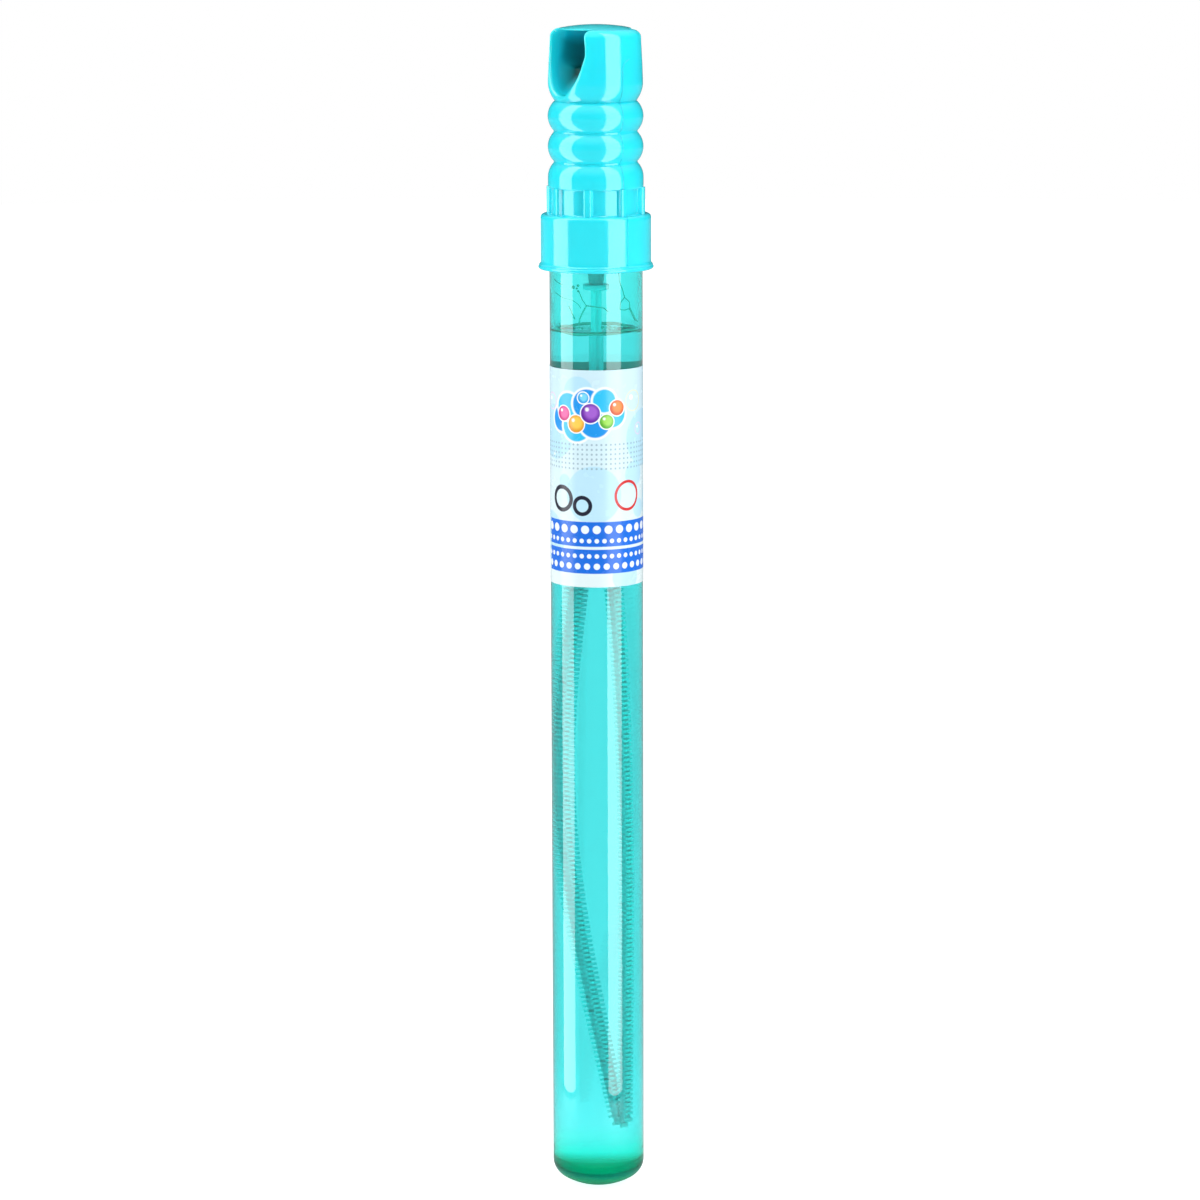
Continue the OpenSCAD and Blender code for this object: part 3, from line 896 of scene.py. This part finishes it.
def make_ribs(material):
    """Eight ribs round the waist, each a rounded bar that runs down over the skirt's shoulder."""
    half = RIB_W / 2
    root = half + RIB_FLARE
    section = [(WAIST_R - RIB_SINK, -root), (WAIST_R, -root)]
    section += softened((WAIST_R, -root), (RIB_R, -half), (RIB_R, half), RIB_CORNER, 4)
    section += softened((RIB_R, -half), (RIB_R, half), (WAIST_R, root), RIB_CORNER, 4)
    section += [(WAIST_R, root), (WAIST_R - RIB_SINK, root)]
    levels = [(SKIRT_TOP_Z - RIB_SINK, 1.0), (WAIST_TOP_Z + 0.2, 1.0)]
    rib = mesh_object("waist_ribs", raised(section, levels))
    spread = Builder("round_the_axis", Count="Int")
    points = spread.add("GeometryNodePoints", {"Count": spread.given["Count"]}).outputs[0]
    step = spread.math("DIVIDE", 2 * math.pi, spread.given["Count"])
    angle = spread.math("MULTIPLY", spread.add("GeometryNodeInputIndex").outputs[0], step)
    turn = spread.add("ShaderNodeCombineXYZ", {2: angle}).outputs[0]
    inputs = {"Points": points, "Instance": spread.given["Geometry"], "Rotation": turn}
    spread.ends_in(spread.add("GeometryNodeInstanceOnPoints", inputs).outputs[0])
    spread.build(rib, Count=RIB_COUNT, Material=material)
    smooth_by_angle(rib, 40)
    finished(rib, material, "wand_body", "handle_plastic")


def swept_line():
    """A tree that lays a round bead along a chain of edges."""
    tree = Builder("swept_line", Radius="Float", Sides="Int")
    curve = tree.add("GeometryNodeMeshToCurve", {"Mesh": tree.given["Geometry"]}).outputs[0]
    bead = {"Resolution": tree.given["Sides"], "Radius": tree.given["Radius"]}
    profile = tree.add("GeometryNodeCurvePrimitiveCircle", bead).outputs[0]
    inputs = {"Curve": curve, "Profile Curve": profile, "Fill Caps": True}
    tree.ends_in(tree.add("GeometryNodeCurveToMesh", inputs).outputs[0])
    return tree


def helix(radius):
    """Points along the screw thread at a radius."""
    points = []
    for i in range(THREAD_STEPS + 1):
        turns = THREAD_TURNS * i / THREAD_STEPS
        a = 2 * math.pi * turns
        points.append((radius * math.cos(a), radius * math.sin(a), THREAD_LOW_Z + THREAD_PITCH * turns))
    return points


def make_threads(neck_material, skirt_material, swept):
    """Beads that stand for the screw thread on the neck and in the skirt."""
    neck = chain_object("neck_thread", helix(NECK_CREST_R - NECK_BEAD))
    swept.build(neck, Radius=NECK_BEAD * MM, Sides=10, Material=neck_material)
    finished(neck, neck_material, "tube_body", "clear_tube")
    skirt = chain_object("skirt_thread", helix(SKIRT_CREST_R + SKIRT_BEAD))
    swept.build(skirt, Radius=SKIRT_BEAD * MM, Sides=10, Material=skirt_material)
    finished(skirt, skirt_material, "wand_body", "handle_plastic")


def loop_chain():
    """Points up the left limb, over the top, down the right one and round the tip.

    Each has its place across, its height and how far the ridges stand out and in there.
    """
    points = []
    for side in (-1, 1):
        for i in range(LIMB_STEPS + 1):
            share = i / LIMB_STEPS if side < 0 else 1 - i / LIMB_STEPS
            half = LOOP_END_R + LOOP_SWELL * math.sin(math.pi * share)
            z = LOOP_LOW_Z + LOOP_LEN * share
            inward = max(0.0, min(RIDGE_LEN, half - SPINE_W / 2 - SLIT_W / 2))
            points.append((side * half + lean_at(z), z, RIDGE_LEN, inward))
        end_z = LOOP_LOW_Z + (LOOP_LEN if side < 0 else 0.0)
        for i in range(1, LOOP_END_STEPS):
            a = math.pi * i / LOOP_END_STEPS
            across = side * LOOP_END_R * math.cos(a)
            z = end_z - side * LOOP_END_R * math.sin(a)
            points.append((across + lean_at(end_z), z, RIDGE_LEN, 0.0))
    return points


def lean_at(z):
    """How far the loop hangs sideways at a height."""
    return LOOP_LEAN * max(0.0, 1 - (z - LOOP_LOW_Z) / LEAN_LEN) ** 2


def ridged_loop():
    """A tree that turns a closed chain into a flat rounded frame with comb ridges on both its edges."""
    kinds = {key: "Float" for key in ("Width", "Thickness", "Pitch", "Ridge", "Round")}
    tree = Builder("ridged_loop", Normal="Vector", **kinds)
    given = tree.given
    curve = tree.add("GeometryNodeMeshToCurve", {"Mesh": given["Geometry"]}).outputs[0]
    inputs = {"Curve": curve, "Normal": given["Normal"]}
    curve = tree.add("GeometryNodeSetCurveNormal", inputs, mode="FREE").outputs[0]

    def rounded(width, height):
        sides = {"Width": width, "Height": height}
        box = tree.add("GeometryNodeCurvePrimitiveQuadrilateral", sides).outputs[0]
        corner = {"Curve": box, "Radius": given["Round"], "Count": 2, "Limit Radius": True}
        return tree.add("GeometryNodeFilletCurve", corner, mode="POLY").outputs[0]

    inputs = {"Curve": curve, "Profile Curve": rounded(given["Thickness"], given["Width"])}
    spine = tree.add("GeometryNodeCurveToMesh", inputs).outputs[0]
    inputs = {"Curve": curve, "Length": given["Pitch"]}
    places = tree.add("GeometryNodeResampleCurve", inputs, mode="LENGTH").outputs[0]
    tangent = tree.add("GeometryNodeInputTangent").outputs[0]
    side = tree.vector("CROSS_PRODUCT", tangent, given["Normal"])
    outward, inward = tree.attribute("ridge_out"), tree.attribute("ridge_in")
    shift = tree.math("MULTIPLY", tree.math("SUBTRACT", outward, inward), 0.5)
    offset = tree.add("ShaderNodeVectorMath", {0: side, "Scale": shift}, operation="SCALE").outputs[0]
    places = tree.add("GeometryNodeSetPosition", {"Geometry": places, "Offset": offset}).outputs[0]
    axes = {"Primary Axis": tangent, "Secondary Axis": side}
    turn = tree.add("FunctionNodeAxesToRotation", axes, primary_axis="Z", secondary_axis="X").outputs[0]
    half = tree.math("MULTIPLY", given["Ridge"], 0.5)
    ends = {
        "Start": tree.add("ShaderNodeCombineXYZ", {2: tree.math("MULTIPLY", half, -1.0)}).outputs[0],
        "End": tree.add("ShaderNodeCombineXYZ", {2: half}).outputs[0],
    }
    stroke = tree.add("GeometryNodeCurvePrimitiveLine", ends).outputs[0]
    full = tree.math("ADD", given["Width"], 2 * RIDGE_LEN * MM)
    inputs = {"Curve": stroke, "Profile Curve": rounded(full, given["Thickness"]), "Fill Caps": True}
    plate = tree.add("GeometryNodeCurveToMesh", inputs).outputs[0]
    reach = tree.math("ADD", given["Width"], tree.math("ADD", outward, inward))
    share = tree.math("DIVIDE", reach, full)
    scale = tree.add("ShaderNodeCombineXYZ", {0: share, 1: 1.0, 2: 1.0}).outputs[0]
    inputs = {"Points": places, "Instance": plate, "Rotation": turn, "Scale": scale}
    ridges = tree.add("GeometryNodeInstanceOnPoints", inputs).outputs[0]
    both = tree.add("GeometryNodeJoinGeometry")
    tree.tree.links.new(spine, both.inputs[0])
    tree.tree.links.new(ridges, both.inputs[0])
    tree.ends_in(both.outputs[0])
    return tree


def make_wand(material):
    """Ridged loop, cross-shaped stem, and collar with its spigot."""
    across = Vector((math.cos(LOOP_TURN), math.sin(LOOP_TURN), 0))
    chain = loop_chain()
    places = [across * u + Vector((0, 0, z)) for u, z, _, _ in chain]
    loop = chain_object("wand_loop", places, closed=True)
    store(loop, "ridge_out", [point[2] * MM for point in chain])
    store(loop, "ridge_in", [point[3] * MM for point in chain])
    ridged_loop().build(
        loop, Normal=(-across.y, across.x, 0.0), Width=SPINE_W * MM, Thickness=LOOP_T * MM,
        Pitch=RIDGE_PITCH * MM, Ridge=RIDGE_T * MM, Round=LOOP_ROUND * MM, Material=material,
    )
    smooth_by_angle(loop, 45)
    finished(loop, material, "wand_body", "wand_plastic", "wand")
    web = STEM_WEB / 2
    arm = STEM_W / 2
    bevel_x = arm - STEM_CHAMFER
    bevel_y = web - STEM_CHAMFER
    quarter_section = ((bevel_x, -web), (arm, -bevel_y), (arm, bevel_y), (bevel_x, web), (web, web))
    section = []
    for quarter in range(4):
        turn = Matrix.Rotation(LOOP_TURN + quarter * math.pi / 2, 2)
        section += [tuple(turn @ Vector(corner)) for corner in quarter_section]
    low_z = LOOP_LOW_Z + LOOP_LEN + LOOP_END_R
    stem = mesh_object("wand_stem", raised(section, [(low_z - 1, 1.0), (COLLAR_Z + 0.2, 1.0)]))
    smooth_by_angle(stem, 50)
    finished(stem, material, "wand_body", "wand_plastic")
    top_z = COLLAR_Z + COLLAR_T
    edge_r = COLLAR_R - COLLAR_EDGE_R
    disc = [(0, COLLAR_Z)] + arc(edge_r, COLLAR_Z + COLLAR_EDGE_R, COLLAR_EDGE_R, -90, 0, 4)
    disc += arc(edge_r, top_z - COLLAR_EDGE_R, COLLAR_EDGE_R, 0, 90, 4)
    disc += [(SPIGOT_R, top_z), (SPIGOT_R, top_z + SPIGOT_LEN - 0.2), (0, top_z + SPIGOT_LEN)]
    collar = mesh_object("wand_collar", turned(supported(disc), 64))
    smooth_by_angle(collar, 40)
    finished(collar, material, "wand_body", "wand_plastic")


def at_wall(across, z, radius):
    """A point on the tube's near wall, a distance right of the axis as the camera sees it."""
    towards = view_direction(0)
    right = view_direction(90)
    return right * across + towards * math.sqrt(radius ** 2 - across ** 2) + Vector((0, 0, z))


def film_material():
    """Thin teal soap film."""
    material, nodes, shader, coords = new_material("soap_film")
    tint = nodes.mix(nodes.noise(coords, 500.0), (0.02, 0.62, 0.46, 1), (0.06, 0.76, 0.60, 1))
    nodes.tree.links.new(tint, shader.inputs["Base Color"])
    shader.inputs["Roughness"].default_value = 0.05
    shader.inputs["IOR"].default_value = 1.33
    shader.inputs["Transmission Weight"].default_value = 0.35
    return material


def make_foam(material, swept):
    """Borders of large bubbles along the near wall, a ring on the liquid, and small bubbles."""
    for shape, thickness in FOAM_BORDERS:
        fine = []
        for start, end in zip(shape, shape[1:]):
            fine += line(start, end, 4)
        border = chain_object("foam_border", [at_wall(s, z, FOAM_WALL_R) for s, z in fine + shape[-1:]])
        swept.build(border, Radius=thickness * MM, Sides=8, Material=material)
        finished(border, material, "tube_body", "clear_tube")
    ring = []
    for i in range(FOAM_RING_STEPS):
        a = 2 * math.pi * i / FOAM_RING_STEPS
        z = LIQUID_Z + 0.5 + 0.25 * math.sin(3 * a + 1) + 0.15 * math.sin(7 * a)
        ring.append((FOAM_RING_R * math.cos(a), FOAM_RING_R * math.sin(a), z))
    border = chain_object("foam_ring", ring, closed=True)
    swept.build(border, Radius=FOAM_RING_BEAD * MM, Sides=10, Material=material)
    finished(border, material, "tube_body", "clear_tube")
    bubbles = Builder("small_bubbles", Detail="Int")
    sphere = {"Segments": bubbles.given["Detail"], "Rings": 6, "Radius": 1.0}
    ball = bubbles.add("GeometryNodeMeshUVSphere", sphere).outputs[0]
    inputs = {"Points": bubbles.given["Geometry"], "Instance": ball, "Scale": bubbles.attribute("size")}
    bubbles.ends_in(bubbles.add("GeometryNodeInstanceOnPoints", inputs).outputs[0])
    rng = random.Random(7)
    places = list(FOAM_BUBBLES)
    for _ in range(SMALL_BUBBLES):
        across = rng.uniform(-12, 12)
        z = LIQUID_Z + rng.uniform(1.8, 3.0)
        places.append((across, z, rng.uniform(0.15, 0.4)))
    foam = points_object("foam_bubbles", [at_wall(s, z, FOAM_WALL_R - size) for s, z, size in places])
    store(foam, "size", [size * MM for _, _, size in places])
    bubbles.build(foam, Detail=12, Material=material)
    finished(foam, material, "tube_body", "clear_tube")


def make_floor():
    """Pale paper floor that looks white to the camera and keeps the object's shadow."""
    material, nodes, shader, coords = new_material("studio_floor")
    fibre = nodes.noise(coords, 40.0)
    paper = nodes.mix(fibre, (0.56, 0.56, 0.56, 1), (0.59, 0.59, 0.59, 1))
    nodes.tree.links.new(paper, shader.inputs["Base Color"])
    shader.inputs["Roughness"].default_value = 0.9
    shader.inputs["Specular IOR Level"].default_value = 0.1
    path = nodes.add("ShaderNodeLightPath").outputs
    seen = nodes.math("MAXIMUM", path["Is Camera Ray"], path["Is Transmission Ray"])
    shader.inputs["Emission Color"].default_value = WHITE
    nodes.tree.links.new(nodes.math("MULTIPLY", seen, FLOOR_GLOW), shader.inputs["Emission Strength"])
    bm = bmesh.new()
    bmesh.ops.create_circle(bm, cap_ends=True, segments=96, radius=FLOOR_R)
    floor = mesh_object("studio_floor", bm)
    floor.data.materials.append(material)


def view_direction(turn, elevation=0.0):
    """From the object towards a point that is turned right from the camera by some degrees."""
    a = math.radians(VIEW_AZIMUTH + turn)
    e = math.radians(elevation)
    return Vector((math.sin(a) * math.cos(e), -math.cos(a) * math.cos(e), math.sin(e)))


def make_world():
    """White where the camera looks, also through the clear pieces, and dim all round as a light."""
    world = bpy.data.worlds.new("studio")
    bpy.context.scene.world = world
    world.use_nodes = True
    nodes = Nodes(world.node_tree)
    background = world.node_tree.nodes["Background"]
    direction = nodes.add("ShaderNodeTexCoord").outputs["Generated"]
    up = nodes.add("ShaderNodeSeparateXYZ", {0: direction}).outputs[2]
    dim = nodes.span(up, 0.2, 0.9, 0.08, 0.8)
    path = nodes.add("ShaderNodeLightPath").outputs
    seen = nodes.math("MAXIMUM", path["Is Camera Ray"], path["Is Transmission Ray"])
    nodes.tree.links.new(nodes.math("MAXIMUM", seen, dim), background.inputs["Strength"])
    background.inputs["Color"].default_value = WHITE


def make_softbox(name, turn):
    """A tall soft lamp that stands on the floor beside the object, turned from the camera in degrees."""
    width = 2 * SOFTBOX_DISTANCE * math.tan(math.radians(SOFTBOX_SPREAD / 2))
    lamp = bpy.data.lights.new(name, "AREA")
    lamp.shape = "RECTANGLE"
    lamp.size = width
    lamp.size_y = SOFTBOX_H
    lamp.energy = SOFTBOX_RADIANCE * math.pi * width * SOFTBOX_H
    made = bpy.data.objects.new(name, lamp)
    bpy.context.scene.collection.objects.link(made)
    towards = view_direction(turn)
    middle = Vector((0, 0, SOFTBOX_H / 2 + SOFTBOX_FLOOR_GAP))
    made.location = towards * SOFTBOX_DISTANCE + middle
    made.rotation_euler = towards.to_track_quat("Z", "Y").to_euler()
    made.visible_camera = False
    made.visible_transmission = False


def make_camera():
    """Camera at the photograph's place and angle."""
    camera = bpy.data.cameras.new("photo_view")
    camera.lens = VIEW_LENS
    camera.sensor_width = VIEW_SENSOR
    camera.shift_x = VIEW_SHIFT_X
    made = bpy.data.objects.new("photo_view", camera)
    bpy.context.scene.collection.objects.link(made)
    back = view_direction(0, VIEW_ELEVATION)
    made.location = Vector((0, 0, VIEW_AIM_Z)) + back * VIEW_DISTANCE
    turn = (-back).to_track_quat("-Z", "Y").to_matrix()
    made.rotation_euler = (turn @ Matrix.Rotation(math.radians(-VIEW_ROLL), 3, "Z")).to_euler()
    bpy.context.scene.camera = made


make_camera()
make_world()
make_floor()
make_softbox("softbox_right", SOFTBOX_RIGHT_TURN)
make_softbox("softbox_left", SOFTBOX_LEFT_TURN)

cyan = (0.020, 0.78, 0.90, 1)
cyan_shade = (0.022, 0.74, 0.86, 1)
cyan_plastic = moulded_plastic("cyan_plastic", cyan, cyan_shade, 0.11, 0.1)
head_plastic = moulded_plastic("head_plastic", cyan, cyan_shade, 0.11, 0.7)
# Painted shade: the eye's inside darkens towards this colour with depth, in a copy of the head's plastic.
eye_shade_colour = (0.002, 0.07, 0.065, 1)
eye_shaded_plastic = moulded_plastic("eye_shaded_plastic", cyan, cyan_shade, 0.2, 0.7, eye_shade_colour)
teal = (0.020, 0.95, 0.90, 1)
teal_shade = (0.022, 0.90, 0.85, 1)
teal_plastic = moulded_plastic("teal_plastic", teal, teal_shade, 0.35, 0.6)
# The plug's teal is its own colour darkened with painted shade for the shade in which it sits within the
# tube.
shaded_plug_teal = (0.012, 0.56, 0.54, 1)
plug_shade = (0.014, 0.52, 0.50, 1)
plug_plastic = moulded_plastic("plug_plastic", shaded_plug_teal, plug_shade, 0.3)
foam_white = (0.75, 0.75, 0.72, 1)
foam_shade = (0.68, 0.68, 0.65, 1)
washer_foam = moulded_plastic("washer_foam", foam_white, foam_shade, 0.6)
clear_plastic = clear_tube_material()
swept = swept_line()

make_tube(clear_plastic)
make_liquid(liquid_material())
make_label(label_material())
make_handle(cyan_plastic, head_plastic, eye_shaded_plastic, swept)
make_threads(clear_plastic, cyan_plastic, swept)
make_wand(teal_plastic)
make_foam(film_material(), swept)
for node, material in (("inner_plug", plug_plastic), ("seal_washer", washer_foam)):
    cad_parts[node].data.materials.clear()
    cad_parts[node].data.materials.append(material)

bpy.context.scene.view_settings.view_transform = "Standard"
